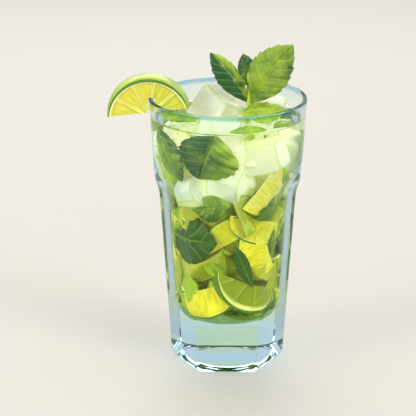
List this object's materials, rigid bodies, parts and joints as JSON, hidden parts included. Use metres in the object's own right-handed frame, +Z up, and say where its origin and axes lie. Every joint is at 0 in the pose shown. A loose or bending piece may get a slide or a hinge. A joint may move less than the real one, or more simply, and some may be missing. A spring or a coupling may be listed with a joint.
{
  "type": "mojito cocktail",
  "caption": "Mojito cocktail in a heavy panelled tumbler, with ice and mint leaves at its surface, a mint sprig and a half lime wheel hooked on the rim.",
  "frame": {"origin": "middle of the glass's flat base, on the surface it stands on", "axes": "+Z up along the glass's axis; the drinker's side is -Y; the lime is on the rim at -X"},
  "size_m": [0.1111, 0.0878, 0.1838],
  "materials": {
    "clear_glass": "clear, polished, faintly blue",
    "mojito": "clear yellow-green liquid",
    "ice": "wet clear ice with a cloudy middle",
    "lime": "juicy yellow-green flesh, satin green rind",
    "mint": "fresh leaf, satin"
  },
  "bodies": {
    "root": {"glass": "clear_glass", "drink": "mojito", "ice_cube_back": "ice", "ice_cube_front": "ice", "ice_cube_side": "ice", "lime_slice": "lime", "mint_sprig": "mint", "mint_leaf_left": "mint", "mint_leaf_right": "mint", "mint_leaf_front": "mint", "mint_leaf_side": "mint"}
  },
  "joints": []
}
